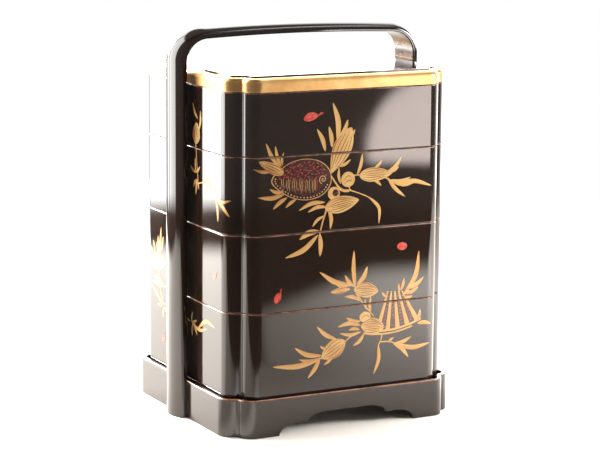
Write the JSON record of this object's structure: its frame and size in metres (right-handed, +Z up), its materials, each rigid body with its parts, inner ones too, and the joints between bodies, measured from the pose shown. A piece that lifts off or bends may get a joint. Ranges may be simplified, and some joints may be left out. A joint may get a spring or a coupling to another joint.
{
  "type": "tiered lacquer box",
  "caption": "Stack of open lacquered boxes with notched corners under a flat lid, standing in a footed tray spanned by a tall bent carrying handle.",
  "frame": {"origin": "middle of the footprint, on the surface that the footed tray stands on", "axes": "+Z up; +X to the right along the handle's bar; +Y from the decorated front to the back"},
  "size_m": [0.2284, 0.1976, 0.3235],
  "materials": {
    "black_lacquer": "polished high-gloss black lacquer on wood",
    "gold_lacquer": "gold powder sprinkled into lacquer, satin",
    "red_lacquer": "vermilion lacquer, gloss",
    "brown_lacquer": "thin reddish-brown lacquer worn through at the rims, gloss"
  },
  "bodies": {
    "root": {"footed_tray": "black_lacquer", "handle": "black_lacquer", "bottom_tier": "black_lacquer", "third_tier": "black_lacquer", "second_tier": "black_lacquer", "top_tier": "black_lacquer", "lid": "black_lacquer"}
  },
  "joints": []
}
